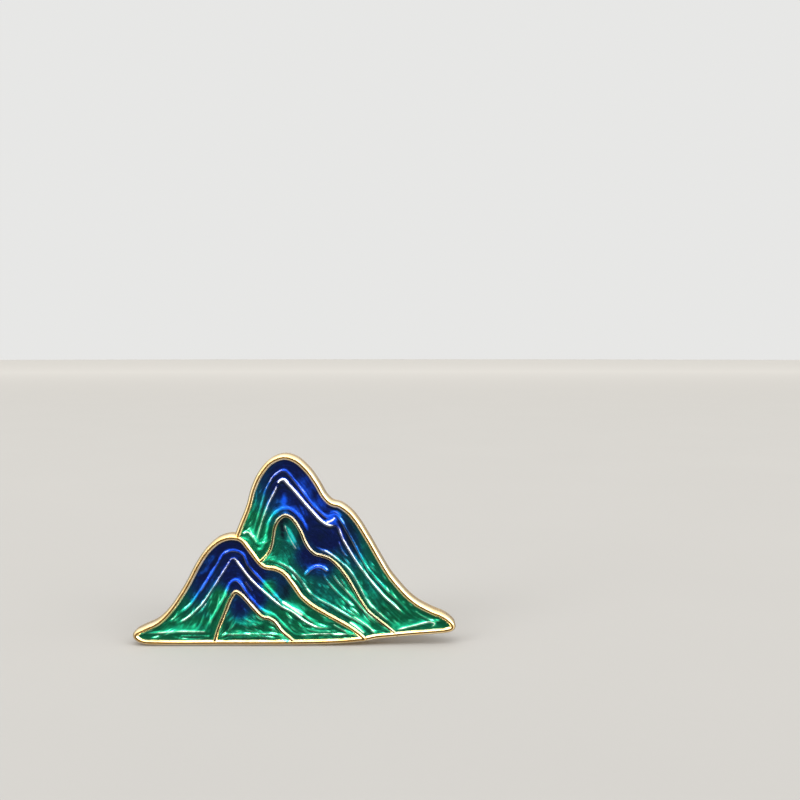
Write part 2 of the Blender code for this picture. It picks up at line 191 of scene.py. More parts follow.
def carried(name, path, profile, closed=False):
    """A (left of the path, depth) profile carried along a front-view path.

    Each point is the path's point plus its left normal times the profile's offset, and where
    the path bends tighter than that, the offset stops short of the bend's centre.
    """
    if closed:
        run = np.roll(path, -1, axis=0) - np.roll(path, 1, axis=0)
    else:
        run = np.gradient(path, axis=0) * 2
    length = np.linalg.norm(run, axis=1)
    left = np.column_stack([-run[:, 1], run[:, 0]]) / length[:, None]
    heading = np.unwrap(np.arctan2(run[:, 1], run[:, 0]))
    if closed:
        turn = np.roll(heading, -1) - np.roll(heading, 1)
        turn = (turn + math.pi) % (2 * math.pi) - math.pi
    else:
        turn = np.gradient(heading) * 2
    bend = turn / length
    blur = np.hanning(2 * BEND_BLUR + 1)
    around = np.r_[bend[-BEND_BLUR:], bend, bend[:BEND_BLUR]]
    bend = np.convolve(around, blur / blur.sum(), mode="valid")
    reach_left = BEND_REACH / np.maximum(bend, NEARLY_STRAIGHT)
    reach_right = -BEND_REACH / np.maximum(-bend, NEARLY_STRAIGHT)
    profile = np.array(profile)
    across = np.clip(profile[None, :, 0], reach_right[:, None], reach_left[:, None])
    grid = np.empty((*across.shape, 3))
    grid[..., 0] = path[:, None, 0] + left[:, None, 0] * across
    grid[..., 1] = profile[None, :, 1]
    grid[..., 2] = path[:, None, 1] + left[:, None, 1] * across
    return skin(name, grid, closed_along=closed, capped=not closed)


class Value:
    """A socket among a material's nodes. Arithmetic on it adds Math nodes."""

    def __init__(self, tree, socket=None):
        self.tree = tree
        self.socket = socket

    def node(self, kind, settings, inputs, output=0):
        """Any node: its settings first, then the numbers or links of its sockets."""
        made = self.tree.nodes.new(kind)
        for key, setting in settings.items():
            if key == "stops":
                ramp = made.color_ramp
                while len(ramp.elements) < len(setting):
                    ramp.elements.new(0.5)
                for stop, (place, color) in zip(ramp.elements, setting):
                    stop.position = place
                    stop.color = (*color, 1.0)
            else:
                setattr(made, key, setting)
        for key, value in inputs.items():
            if isinstance(value, Value):
                self.tree.links.new(value.socket, made.inputs[key])
            else:
                made.inputs[key].default_value = value
        return Value(self.tree, made.outputs[output])

    def math(self, operation, a, b):
        return self.node("ShaderNodeMath", {"operation": operation}, {0: a, 1: b})

    def __add__(self, other):
        return self.math("ADD", self, other)

    def __radd__(self, other):
        return self.math("ADD", other, self)

    def __sub__(self, other):
        return self.math("SUBTRACT", self, other)

    def __rsub__(self, other):
        return self.math("SUBTRACT", other, self)

    def __mul__(self, other):
        return self.math("MULTIPLY", self, other)

    def __rmul__(self, other):
        return self.math("MULTIPLY", other, self)

    def ramp(self, low, high):
        """0 below low, 1 above high, and a smooth rise between."""
        settings = {"interpolation_type": "SMOOTHSTEP"}
        return self.node("ShaderNodeMapRange", settings, {0: self, 1: low, 2: high})

    def mixed(self, a, b):
        """Colour a where this is 0, and b where it is 1."""
        a = a if isinstance(a, Value) else (*a, 1.0)
        b = b if isinstance(b, Value) else (*b, 1.0)
        return self.node("ShaderNodeMix", {"data_type": "RGBA"}, {0: self, 6: a, 7: b}, output=2)

    def noise(self, grain, detail=2.0, stretch=(1, 1, 1)):
        """Soft noise over the object, with lumps of about grain millimetres."""
        place = self.node("ShaderNodeTexCoord", {}, {}, output=3)
        place = self.node("ShaderNodeMapping", {}, {"Vector": place, "Scale": stretch})
        inputs = {"Vector": place, "Scale": 1 / (grain * MM), "Detail": detail}
        return self.node("ShaderNodeTexNoise", {}, inputs)

    def bump(self, height, depth):
        """A bump whose height of 1 stands for depth millimetres."""
        return self.node("ShaderNodeBump", {}, {"Height": height, "Distance": depth * MM,
                                                "Strength": 1.0})


def finish(name, constants):
    """A new Principled material with its constants set, as (material, links to add)."""
    made = bpy.data.materials.new(name)
    made.use_nodes = True
    shader = made.node_tree.nodes["Principled BSDF"]
    for key, value in constants.items():
        shader.inputs[key].default_value = value
    pen = Value(made.node_tree)

    def link(**sockets):
        for key, value in sockets.items():
            made.node_tree.links.new(value.socket, shader.inputs[key.replace("_", " ")])

    return made, pen, link


def gold_plate():
    """Polished gold plate, faintly uneven from the casting under it.

    The flat crests are stoned, which leaves them rougher, and their darker orange gold is a
    painted dark reflection. The outer walls are left satin and a little darker. What stands proud
    of the back is polished like the bevels.
    """
    made, pen, link = finish("gold_plate", {"Metallic": 1.0})
    cloud = pen.noise(1.6)
    grain = pen.noise(0.16)
    place = pen.node("ShaderNodeTexCoord", {}, {}, output=3)
    depth = pen.node("ShaderNodeSeparateXYZ", {}, {0: place}, output=1)
    crest = (0 - depth).ramp((-RIM_TOP - 0.055) * MM, (-RIM_TOP - 0.025) * MM)
    wall = depth.ramp((SHOULDER - 0.13) * MM, (SHOULDER + 0.12) * MM)
    satin = wall * (1 - depth.ramp(0.0, 0.03 * MM))
    warm = cloud.ramp(0.35, 0.65).mixed(WARM_GOLD, PALE_GOLD)
    # The crests get the darker gold, as a painted dark reflection.
    plate = (0.8 * crest).mixed(warm, PAINTED_DARK_CREST_GOLD)
    link(Base_Color=(0.75 * satin).mixed(plate, SATIN_GOLD),
         Roughness=0.13 + 0.12 * grain.ramp(0.3, 0.8) + 0.16 * crest + 0.12 * satin,
         Normal=pen.bump(cloud + 0.12 * grain, 0.025))
    return made


GOLD = gold_plate()


def badge_piece(made, look, *nodes):
    """Give a piece of the badge its material, hang it on the badge, and hide the solids that it
    stands for.
    """
    made.data.materials.append(look)
    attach(made, "badge")
    if nodes:
        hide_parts(*nodes)


def rim_profile(top):
    """Outer wall, wide rounded bevel, narrow flat crest, and inner chamfer."""
    return [(RIM_HALF, -0.3), (RIM_HALF, SHOULDER), (0.355, -1.5), (0.33, -1.59), (0.28, -1.7),
            (0.22, -1.81), (0.16, -1.9), (0.11, top + 0.05), (0.08, top + 0.01),
            (0.06, top), (-0.15, top), (-0.17, top + 0.01), (-0.21, top + 0.05),
            (-0.28, top + 0.14), (-0.34, top + 0.22), (-RIM_HALF, top + 0.3),
            (-RIM_HALF, -0.6)]


def wall_profile(half, top):
    """A low wall with a flat crest between two chamfers."""
    side = [(half, -0.6), (half, top + 0.3), (half * 0.86, top + 0.17), (half * 0.55, top + 0.04),
            (half * 0.4, top)]
    return side + [(-across, depth) for across, depth in side[::-1]]


front_edge = smooth_line(FRONT_PEAK_EDGE)
back_edge = smooth_line(BACK_PEAK_EDGE)
front_wall = smooth_line(FRONT_PEAK_WALL)
small_wall = smooth_line(SMALL_PEAK_WALL)
inner_wall = smooth_line(INNER_PEAK_WALL)[:-WALL_END]

front_line = inward(front_edge, RIM_HALF)
back_line = inward(back_edge, RIM_HALF)
bottom_and_left = front_line[front_line[:, 0] < LOOP_RIGHT][:-LOOP_TOP]
right_flank = front_wall[(front_wall[:, 0] > FLANK_START) & (front_wall[:, 1] > FLANK_END)]
front_loop = closed_loop(np.vstack([bottom_and_left, right_flank]))

rims = [carried("front_mountain_rim", front_loop, rim_profile(RIM_TOP), closed=True),
        carried("back_mountain_rim", back_line, rim_profile(RIM_TOP + 0.02)),
        carried("small_peak_wall", small_wall, wall_profile(0.28, RIM_TOP + 0.04)),
        carried("inner_peak_wall", inner_wall, wall_profile(0.25, RIM_TOP + 0.05))]
for rim in rims:
    badge_piece(closed_skin(rim), GOLD)


# ---------------------------------------------------------------- back of the casting
# The plate of the casting behind the enamels, with a rounded edge at the back. Its back is
# sand-blasted before plating, except for a smooth oval land in the middle.

PLATE_FRONT = -1.2
LAND_ACROSS = 3.2           # half the width of the oval land
LAND_UP = 2.0               # half its height
LAND_TOP = 0.1
BLASTED_DARK = (0.90, 0.58, 0.27)
BLASTED_LIGHT = (1.0, 0.70, 0.38)


def blasted_gold():
    """Gold plate over a sand-blasted back."""
    made, pen, link = finish("blasted_gold", {"Metallic": 1.0})
    peel = pen.noise(0.22, detail=4.0)
    cloud = pen.noise(3.0)
    link(Base_Color=cloud.ramp(0.3, 0.7).mixed(BLASTED_DARK, BLASTED_LIGHT),
         Roughness=0.30 + 0.18 * peel,
         Normal=pen.bump(peel, 0.09))
    return made


def through(face):
    """Whether a face of the plate runs through it, from its front to its back."""
    depths = [corner.co.y / MM for corner in face.verts]
    return max(depths) > -0.01 and min(depths) < PLATE_FRONT + 0.01


def casting_back(outline):
    """The plate's rounded edge carried around its outline, closed flat in front and behind."""
    made = carried("casting_back", outline, [
        (-0.9, PLATE_FRONT), (-0.03, PLATE_FRONT), (-0.03, -0.34), (-0.05, -0.22),
        (-0.11, -0.11), (-0.21, -0.03), (-0.34, 0.0)], closed=True)
    edit = bmesh.new()
    edit.from_mesh(made.data)
    strips = [face for face in edit.faces if through(face)]
    bmesh.ops.delete(edit, geom=strips, context="FACES_ONLY")
    open_edges = [edge for edge in edit.edges if edge.is_boundary]
    bmesh.ops.holes_fill(edit, edges=open_edges, sides=0)
    edit.to_mesh(made.data)
    edit.free()
    return closed_skin(made, crease=50)


def oval_land():
    """A flat oval with a rolled-off edge: rings of an ellipse that grow as they go down."""
    turn = np.linspace(0, 2 * math.pi, 96, endpoint=False)
    rings = np.array([(0.02, LAND_TOP), (0.9, LAND_TOP), (0.96, LAND_TOP - 0.006),
                      (0.985, LAND_TOP - 0.025), (1.0, LAND_TOP - 0.06), (1.0, -0.3)])
    size, depth = rings[:, :1], rings[:, 1:]
    grid = np.stack([LAND_ACROSS * size * np.cos(turn), np.repeat(depth, len(turn), axis=1),
                     LAND_UP * size * np.sin(turn)], axis=2)
    return skin("back_land", grid, capped=True)


outline = np.vstack([front_edge[:-1], back_edge[:-1]])
badge_piece(casting_back(outline), blasted_gold(), "base_casting")
badge_piece(closed_skin(oval_land()), GOLD)


# ---------------------------------------------------------------- enamels
# Four fills of translucent enamel over relief lines cast in the floor of each recess. The
# enamel lies in folds over the lines, creeps up the gold walls, and runs from blue to green.

ENAMEL_TOP = -1.74
FILL_BACK = -1.25
ACROSS = 168                # points from one edge of a fill to the other
BACK_STRIDE = 9             # the flat back of a fill has every ninth of them
TRIM = 5                    # points at a wall's end that lie inside the rim it runs into
CHORD = 0.25                # of the straight bits that a relief line is measured by
WAVES = 9                   # sines in one unevenness
ROW_MARGIN = 12             # points that strokes keep from the ends of a fill
COLUMN_MARGIN = 14          # and from its two edges

# Enamel from green through teal to blue: a copy with painted shade for its dark folds, and a copy
# with painted light where it glows.
SHADED_ENAMEL = [(0.0, (0.0, 0.165, 0.075)), (0.3, (0.0, 0.12, 0.115)), (0.6, (0.0, 0.04, 0.13)),
               (1.0, (0.0, 0.010, 0.105))]
LIT_ENAMEL = [(0.0, (0.01, 0.68, 0.34)), (0.3, (0.0, 0.62, 0.52)), (0.6, (0.0, 0.27, 0.92)),
                 (1.0, (0.0, 0.085, 0.88))]
# Painted shade for the deepest folds.
FOLD_SHADE = (0.0, 0.012, 0.03)
# Bare metal, painted near white as a highlight.
BARE_METAL_HIGHLIGHT = (0.95, 1.0, 0.93)

# Relief lines as (points, height, half-width, painted light, bare metal painted near white as
# a highlight), in a front view from the origin.
FRONT_LINES = [
    ([(-14.2, -7.6), (-12.6, -6.4), (-11.4, -4.9), (-9.9, -2.6), (-8.9, -1.0), (-8.3, 0.0),
      (-7.2, 0.45), (-6.0, 0.0), (-5.4, -1.3), (-4.0, -2.9), (-2.3, -4.8), (-1.2, -5.9),
      (0.7, -6.9), (2.6, -8.3), (3.9, -8.6)], 0.09, 0.10, 0.9, 0.12),
    ([(-13.9, -8.4), (-12.6, -7.6), (-11.0, -6.1), (-9.4, -3.8), (-8.2, -1.9), (-7.3, -0.6)],
     0.12, 0.09, 0.5, 0.6),
    ([(-7.7, -1.2), (-7.3, -0.6), (-7.0, -0.55), (-6.4, -1.3), (-5.1, -3.0), (-3.2, -4.8),
      (-1.4, -6.3), (-0.2, -6.9), (1.5, -8.2), (3.0, -8.8), (3.9, -8.7)], 0.14, 0.10, 0.5, 0.9),
    ([(-10.6, -9.2), (-9.7, -7.7), (-8.3, -5.2), (-7.5, -3.5), (-6.9, -3.1), (-6.4, -3.4),
      (-5.4, -4.9), (-4.1, -6.4), (-3.4, -6.9), (-2.4, -7.3), (-1.4, -8.3), (-0.1, -9.5),
      (0.6, -9.8)], 0.10, 0.11, 0.9, 0.1),
    ([(-16.6, -9.5), (-13.5, -9.3), (-10.2, -9.35)], 0.10, 0.11, 0.4, 0.6),
    ([(-13.6, -9.9), (-11.5, -9.85), (-9.9, -9.9)], 0.06, 0.08, 0.2, 0.3),
    ([(0.4, -9.75), (3.1, -9.6), (6.7, -9.65)], 0.09, 0.10, 0.4, 0.6),
    ([(-5.8, -3.2), (-5.3, -3.9), (-4.9, -4.5)], 0.06, 0.08, 0.4, 0.4),
    ([(1.2, -8.9), (2.6, -9.25), (5.2, -9.3)], 0.07, 0.09, 0.3, 0.4),
    ([(4.6, -8.4), (5.4, -8.9), (6.3, -9.35)], 0.07, 0.09, 0.3, 0.5),
    ([(-1.5, -5.7), (-0.3, -6.5), (1.1, -7.5)], 0.10, 0.24, 0.9, 0.9),
    ([(-10.9, -2.6), (-10.0, -1.2), (-9.3, -0.2)], 0.02, 0.22, 0.35, 0.0),
]
SMALL_LINES = [
    ([(-8.4, -9.65), (-5.2, -9.6), (-1.9, -9.6)], 0.10, 0.10, 0.4, 0.5),
    ([(-8.0, -10.05), (-5.2, -10.0), (-2.2, -10.0)], 0.05, 0.08, 0.2, 0.3),
    ([(-7.2, -8.2), (-5.0, -8.6), (-3.4, -8.3)], 0.05, 0.16, 0.2, 0.0),
]
BACK_LINES = [
    ([(-5.3, 1.8), (-4.7, 2.8), (-4.0, 4.9), (-3.1, 7.8), (-2.1, 9.4), (-1.0, 9.95),
      (-0.2, 9.2), (0.9, 7.8), (1.9, 6.4), (3.1, 5.1), (4.1, 4.4), (4.9, 4.7), (5.6, 4.1),
      (6.2, 3.0), (7.0, 1.6), (8.6, -1.4), (10.2, -3.4), (12.2, -5.4), (14.1, -7.5)],
     0.10, 0.10, 0.7, 0.25),
    ([(-4.4, 1.4), (-3.6, 4.1), (-2.9, 6.0), (-2.2, 7.4), (-1.7, 8.3)], 0.13, 0.10, 0.5, 0.55),
    ([(-1.8, 8.4), (-1.45, 8.8), (-1.0, 8.85), (-0.6, 8.4)], 0.12, 0.12, 0.6, 1.0),
    ([(-1.2, 8.9), (-0.2, 7.9), (1.0, 6.5), (2.3, 5.0), (3.5, 3.8), (4.4, 3.4), (5.1, 3.5)],
     0.18, 0.12, 0.4, 1.0),
    ([(4.7, 3.5), (5.2, 3.3), (5.9, 1.7), (7.3, -0.7), (8.9, -2.9), (10.5, -4.8), (12.2, -6.4),
      (13.2, -7.4)], 0.14, 0.10, 0.5, 0.65),
    ([(-3.5, 1.0), (-3.1, 2.7), (-2.8, 3.9), (-2.0, 5.0), (-1.2, 5.45), (-0.4, 5.4),
      (0.5, 4.7), (1.2, 3.8), (1.7, 2.7)], 0.09, 0.12, 0.9, 0.12),
    ([(2.6, 0.7), (3.6, 0.4), (4.2, 0.1), (5.6, -1.0), (6.5, -1.8), (7.7, -3.7), (8.7, -5.6),
      (10.2, -7.2), (11.9, -8.6)], 0.12, 0.12, 0.5, 0.5),
    ([(5.3, 1.6), (5.7, 0.5), (6.4, -0.4)], 0.07, 0.09, 0.5, 0.4),
    ([(12.1, -9.15), (14.2, -8.6), (16.3, -8.15), (16.7, -8.4), (16.1, -8.75)],
     0.11, 0.11, 0.5, 0.7),
    ([(14.3, -6.8), (15.5, -7.6), (16.5, -8.0)], 0.06, 0.09, 0.3, 0.4),
    ([(10.4, -5.9), (11.6, -7.1), (12.6, -8.0)], 0.05, 0.10, 0.3, 0.1),
    ([(3.9, 3.7), (4.5, 3.9), (5.0, 4.3)], 0.08, 0.22, 0.9, 0.9),
    ([(4.3, 4.9), (5.0, 5.0), (5.6, 4.4)], 0.06, 0.10, 0.7, 0.4),
    ([(-6.0, 2.4), (-5.4, 2.6), (-4.7, 1.9)], 0.09, 0.12, 0.6, 0.7),
    ([(-5.3, 3.1), (-4.9, 2.3), (-4.3, 1.3)], 0.09, 0.12, 0.7, 0.5),
]
INNER_LINES = [
    ([(-1.1, 3.6), (-0.8, 2.6), (-0.2, 1.4), (0.4, 0.4)], 0.10, 0.13, 0.6, 0.5),
    ([(-0.8, 3.2), (-0.3, 2.3), (0.3, 1.2), (0.7, 0.3)], 0.06, 0.12, 0.5, 0.35),
    ([(-1.2, 2.7), (-0.8, 1.8), (-0.3, 0.9)], 0.05, 0.12, 0.4, 0.3),
    ([(1.3, -2.6), (1.6, -2.2), (2.1, -1.75), (2.8, -1.45), (3.5, -1.6), (4.1, -2.1)],
     0.13, 0.12, 1.0, 0.15),
    ([(3.4, -2.2), (3.9, -3.1), (5.5, -4.9), (7.4, -6.5)], 0.09, 0.10, 0.4, 0.4),
    ([(4.4, -2.0), (5.1, -3.1), (6.7, -4.9), (8.1, -6.5), (9.8, -8.1)], 0.10, 0.10, 0.5, 0.5),
    ([(-2.8, -0.6), (-1.1, -1.3), (-0.2, -1.9), (0.8, -3.0), (2.2, -4.9), (4.5, -6.2),
      (6.6, -7.5), (8.7, -8.6)], 0.10, 0.11, 0.5, 0.5),
    ([(5.3, -2.6), (6.9, -4.8), (8.6, -7.1), (9.8, -8.6)], 0.08, 0.10, 0.4, 0.3),
    ([(-2.4, -1.2), (-0.8, -2.0), (0.2, -3.1), (1.4, -4.7)], 0.06, 0.10, 0.3, 0.2),
    ([(6.5, -8.15), (7.5, -8.85), (8.4, -9.6)], 0.10, 0.18, 0.9, 0.75),
    ([(6.9, -7.4), (8.4, -8.4), (9.7, -9.5)], 0.08, 0.12, 0.7, 0.6),
]


def stations(line, marks, counts):
    """Points on a polyline, as many between one mark and the next as counts says."""
    along = np.r_[0, np.cumsum(np.linalg.norm(np.diff(line, axis=0), axis=1))]
    marks = np.array(marks)
    nearest = np.linalg.norm(line[None] - marks[:, None], axis=2).argmin(axis=1)
    share = np.interp(np.arange(sum(counts) + 1), np.r_[0, np.cumsum(counts)],
                      np.arange(len(marks)))
    places = np.interp(share, np.arange(len(marks)), along[nearest])
    return np.column_stack([np.interp(places, along, line[:, k]) for k in (0, 1)])


def near_line(x, z, points):
    """Distance of each point from a polyline, positive on its left, and how far along it is."""
    line = smooth_line(points, step=CHORD, height=0.0)
    best = np.full(x.shape, np.inf)
    part = np.zeros(x.shape)
    for k, (start, end) in enumerate(zip(line[:-1], line[1:])):
        run = end - start
        aside, up = x - start[0], z - start[1]
        t = np.clip((aside * run[0] + up * run[1]) / (run @ run), 0, 1)
        gap = np.hypot(aside - t * run[0], up - t * run[1])
        gap = np.where(run[0] * up < run[1] * aside, -gap, gap)
        nearer = np.abs(gap) < np.abs(best)
        best[nearer] = gap[nearer]
        part[nearer] = ((k + t) / (len(line) - 1))[nearer]
    return best, part


def soft_spots(x, z, places):
    """The sum of soft round spots, given as (x, z, radius across, radius up, strength)."""
    total = np.zeros(x.shape)
    for px, pz, across, up, strength in places:
        total += strength * np.exp(-((x - px) / across) ** 2 - ((z - pz) / up) ** 2)
    return total


def ripple(x, z, grain, seed):
    """Smooth uneven waves: a sum of sines in seeded directions, mostly between -1 and 1."""
    chance = np.random.default_rng(seed)
    total = np.zeros(x.shape)
    for _ in range(WAVES):
        turn, shift = chance.uniform(0, 2 * math.pi, 2)
        pitch = grain * chance.uniform(0.7, 1.6)
        total += np.sin((x * math.cos(turn) + z * math.sin(turn)) * 2 * math.pi / pitch + shift)
    return total / (WAVES / 2)


def fold(x, z, points, height, half, painted_shine, metal_and_highlight):
    """What one relief line adds to the height, to the painted light and to the bare metal painted
    as a highlight.

    The height is a bell across the line, less a wider and lower one. The painted light is a bell
    beside it, less a painted shade on its other side, and the bare metal, painted near white as a
    highlight, is a flat-topped bell on the crest. All three fade out at the line's ends.
    """
    gap, part = near_line(x, z, points)
    gap /= half
    taper = np.clip(np.minimum(part, 1 - part) * 9 + 0.15, 0, 1)
    rise = height * (np.exp(-gap ** 2 / 2) - 0.35 * np.exp(-(gap / 3) ** 2 / 2))
    lit_side = np.exp(-((gap - 0.5) / 1.3) ** 2 / 2)
    shaded_side = np.exp(-((gap + 2.0) / 1.2) ** 2 / 2)
    bare = metal_and_highlight * np.exp(-((gap - 0.35) / 0.62) ** 4)
    return taper * rise, taper * (painted_shine * lit_side - 0.4 * shaded_side), taper * bare


def stroke(x, z, chance):
    """A short hammered stroke around a seeded point, and that point's row and column.

    The stroke is a bell, long in the direction that the fill runs in there and narrow across
    it, and its middle line is bent into a parabola.
    """
    row = chance.integers(ROW_MARGIN, len(x) - ROW_MARGIN)
    column = chance.integers(COLUMN_MARGIN, ACROSS - COLUMN_MARGIN)
    heading = math.atan2(z[row + 3, column] - z[row - 3, column],
                         x[row + 3, column] - x[row - 3, column])
    heading += chance.normal(0, 0.2)
    length, half = chance.uniform(0.25, 0.9), chance.uniform(0.06, 0.10)
    aside, up = x - x[row, column], z - z[row, column]
    along = aside * math.cos(heading) + up * math.sin(heading)
    across = up * math.cos(heading) - aside * math.sin(heading) - 0.12 * along ** 2
    return np.exp(-(along / length) ** 2 - (across / half) ** 2 / 2), (row, column)


def fill(name, above, below, counts, lines, blue, painted_light_spots, strokes, seed):
    """A ruled surface between a cell's two edges, raised over its relief lines.

    Each ruling joins matched points of the edges. The height is the enamel's level, a rounded
    ridge over each line, short strokes of the same kind, a slow unevenness, and a rise in a
    curve up to the gold. Each point carries how blue it is, its painted light and shade, how bare
    the metal is, which is painted near white as a highlight, and its distances along and across
    the fill.
    """
    top = stations(*above, counts)
    foot = stations(*below, counts)
    share = np.linspace(0, 1, ACROSS)[None, :]
    x = top[:, 0, None] * (1 - share) + foot[:, 0, None] * share
    z = top[:, 1, None] * (1 - share) + foot[:, 1, None] * share
    width = np.linalg.norm(top - foot, axis=1)[:, None]
    edge = np.minimum(share, 1 - share) * width
    rise = 0.02 * ripple(x, z, 2.2, seed) + 0.006 * ripple(x, z, 0.7, seed + 1)
    # Painted light: soft spots of painted light, and of painted shade where a spot's strength is
    # negative.
    glow = soft_spots(x, z, painted_light_spots) + 0.12 * ripple(x, z, 1.1, seed + 2)
    hue = soft_spots(x, z, blue) + 0.05 * ripple(x, z, 1.4, seed + 4)
    bare = np.zeros(x.shape)
    uneven = 0.9 + 0.14 * ripple(x, z, 1.7, seed + 3)
    for line in lines:
        ridge, painted_shine, metal_and_highlight = fold(x, z, *line)
        rise += uneven * ridge
        glow += uneven * painted_shine
        bare = np.maximum(bare, uneven * metal_and_highlight)
    chance = np.random.default_rng(seed)
    # Each stroke raises the enamel, and adds a painted glint and some bare metal painted as a
    # highlight.
    for _ in range(strokes):
        mark, place = stroke(x, z, chance)
        mark *= np.clip(1.15 - hue[place], 0.15, 1) * np.clip(1 + glow[place], 0, 1)
        rise += 0.055 * mark
        glow += 0.45 * mark
        bare = np.maximum(bare, 0.4 * chance.uniform(0, 1) * mark ** 3)
    rise += 0.035 * np.exp(-np.maximum(edge - RIM_HALF, 0) / 0.12)
    front = np.stack([x, ENAMEL_TOP - rise, z], axis=2)
    back = front[:, ::-BACK_STRIDE].copy()
    back[..., 1] = FILL_BACK
    made = skin(name, np.concatenate([front, back], axis=1), capped=True)
    along = np.linalg.norm(np.diff(front[:, ACROSS // 2], axis=0, prepend=front[:1, 0]), axis=1)
    flow = np.stack([np.broadcast_to(np.cumsum(along)[:, None], x.shape), share * width,
                     np.zeros(x.shape)], axis=2)
    plain = np.zeros(back.shape)
    for label, values in (("blue", hue), ("glow", glow), ("bare", bare)):
        values = np.concatenate([values, plain[..., 0]], axis=1)
        layer = made.data.attributes.new(label, "FLOAT", "POINT")
        layer.data.foreach_set("value", np.clip(values, -1, 1).ravel())
    flow = np.concatenate([flow, plain], axis=1)
    layer = made.data.attributes.new("flow", "FLOAT_VECTOR", "POINT")
    layer.data.foreach_set("vector", flow.ravel())
    return closed_skin(made, crease=60)


def enamel():
    """Translucent enamel over bright metal: a coloured foil-like sheen under a clear gloss, with
    its light and shade painted into its colour.

    The tone goes from green to blue. A shaded copy of it is painted in the dark folds and a lit
    copy on the bright crests, bare metal is painted near white as a highlight, and fine streaks
    follow the fill.
    """
    made, pen, link = finish("enamel", {"Coat Weight": 1.0, "Coat Roughness": 0.03,
                                        "Coat IOR": 1.65})
    blue, glow, bare = (pen.node("ShaderNodeAttribute", {"attribute_name": name}, {}, output=2)
                        for name in ("blue", "glow", "bare"))
    flow = pen.node("ShaderNodeAttribute", {"attribute_name": "flow"}, {}, output=1)
    flow = pen.node("ShaderNodeMapping", {}, {"Vector": flow, "Scale": (0.45, 3.2, 1.0)})
    streak = pen.node("ShaderNodeTexNoise", {}, {"Vector": flow, "Scale": 1.0, "Detail": 3.0})
    speckle = pen.noise(0.3, detail=4.0)
    wash = pen.noise(1.5, detail=3.0)
    tone = blue + 0.22 * (wash - 0.5)
    # Shaded and lit copies of the colour, mixed by the painted light and painted shade.
    shaded_tone = pen.node("ShaderNodeValToRGB", {"stops": SHADED_ENAMEL}, {0: tone})
    lit_tone = pen.node("ShaderNodeValToRGB", {"stops": LIT_ENAMEL}, {0: tone})
    shaded_tone = (0 - glow - 0.5 * (streak - 0.5)).ramp(0.0, 0.7).mixed(shaded_tone, FOLD_SHADE)
    lit = (glow + 0.8 * (streak - 0.5) + 0.4 * (speckle - 0.5)).ramp(0.0, 1.0)
    # Bare metal on the ridges, painted near white as a highlight, and more metallic and smoother.
    metal_and_highlight = (bare + 0.35 * (streak - 0.5)).ramp(0.25, 0.75)
    link(Base_Color=metal_and_highlight.mixed(lit.mixed(shaded_tone, lit_tone), BARE_METAL_HIGHLIGHT),
         Metallic=(0.8 - 0.35 * lit) * (1 - metal_and_highlight) + 0.35 * metal_and_highlight,
         Roughness=0.30 + 0.2 * speckle - 0.12 * metal_and_highlight,
         Normal=pen.bump(streak + 0.4 * speckle, 0.06))
    return made


ENAMEL = enamel()


def cut_at(line, point):
    """The index of a line's nearest point to a given one."""
    return np.linalg.norm(line - np.array(point), axis=1).argmin()


# Each cell is cut out of the rims' and walls' lines at these points. Its upper edge and its
# lower edge then run from the same end to the same end, with matched points on the way.
left_tip = (-18.85, -9.85)
right_tip = (18.8, -8.75)
front_top = (-6.6, 1.85)
small_top = (-6.9, -4.55)
inner_top = (-1.0, 4.6)
notch = (8.35, -10.2)
inner_foot = (12.7, -10.0)

tip = cut_at(front_line, left_tip)
bottom = front_line[cut_at(front_line, notch):tip + 1][::-1]
flank = np.vstack([front_line[tip:-TRIM], front_wall[cut_at(front_wall, front_top):]])
flank = flank[:cut_at(flank, notch) + 1]
left_foot = cut_at(bottom, small_wall[0])
right_foot = cut_at(bottom, small_wall[-1])
small_arc = small_wall[TRIM:-TRIM]
front_floor = np.vstack([bottom[:left_foot], small_arc, bottom[right_foot:]])
# The light lists below place soft spots of painted light, and of painted shade where the strength
# is negative.
badge_piece(fill(
    "enamel_front", (flank, [flank[0], (-13.6, -4.9), (-7.5, 2.0), (3.7, -7.05), flank[-1]]),
    (front_floor, [front_floor[0], small_arc[0], small_top, small_arc[-1], front_floor[-1]]),
    (90, 120, 150, 80), FRONT_LINES,
    blue=[(-7.6, 1.0, 4.2, 3.4, 1.1), (-10.6, -3.6, 2.2, 2.8, 0.9), (-4.6, -2.6, 2.4, 2.6, 1.0),
          (-1.2, -3.8, 1.3, 2.0, 0.5), (-6.8, -3.0, 1.4, 1.6, 0.9), (-4.6, -5.4, 1.4, 1.6, 1.0),
          (-3.2, -3.9, 0.9, 0.9, -0.9), (-9.2, -5.2, 1.2, 1.4, -0.75),
          (-8.6, -6.8, 0.8, 1.6, -0.6)],
    painted_light_spots=[(-9.8, -2.6, 0.5, 1.4, 0.35), (-3.3, -4.0, 0.8, 0.8, 0.4), (-2.4, -4.8, 0.6, 0.6, 0.3),
           (-0.2, -6.5, 0.8, 0.6, 0.9), (-3.1, -7.2, 0.5, 0.5, 0.8), (-7.2, 1.4, 2.4, 0.5, -0.3),
           (-5.4, -2.2, 0.7, 1.4, -0.4), (-0.9, -4.6, 0.7, 1.2, -0.5),
           (-12.6, -8.8, 2.0, 0.8, 0.5), (2.6, -9.0, 2.2, 0.7, 0.4),
           (-6.3, -3.0, 0.5, 0.5, 0.5), (-14.8, -9.2, 1.2, 0.5, 0.4)], strokes=110, seed=11),
    ENAMEL, "enamel_front_mountain")
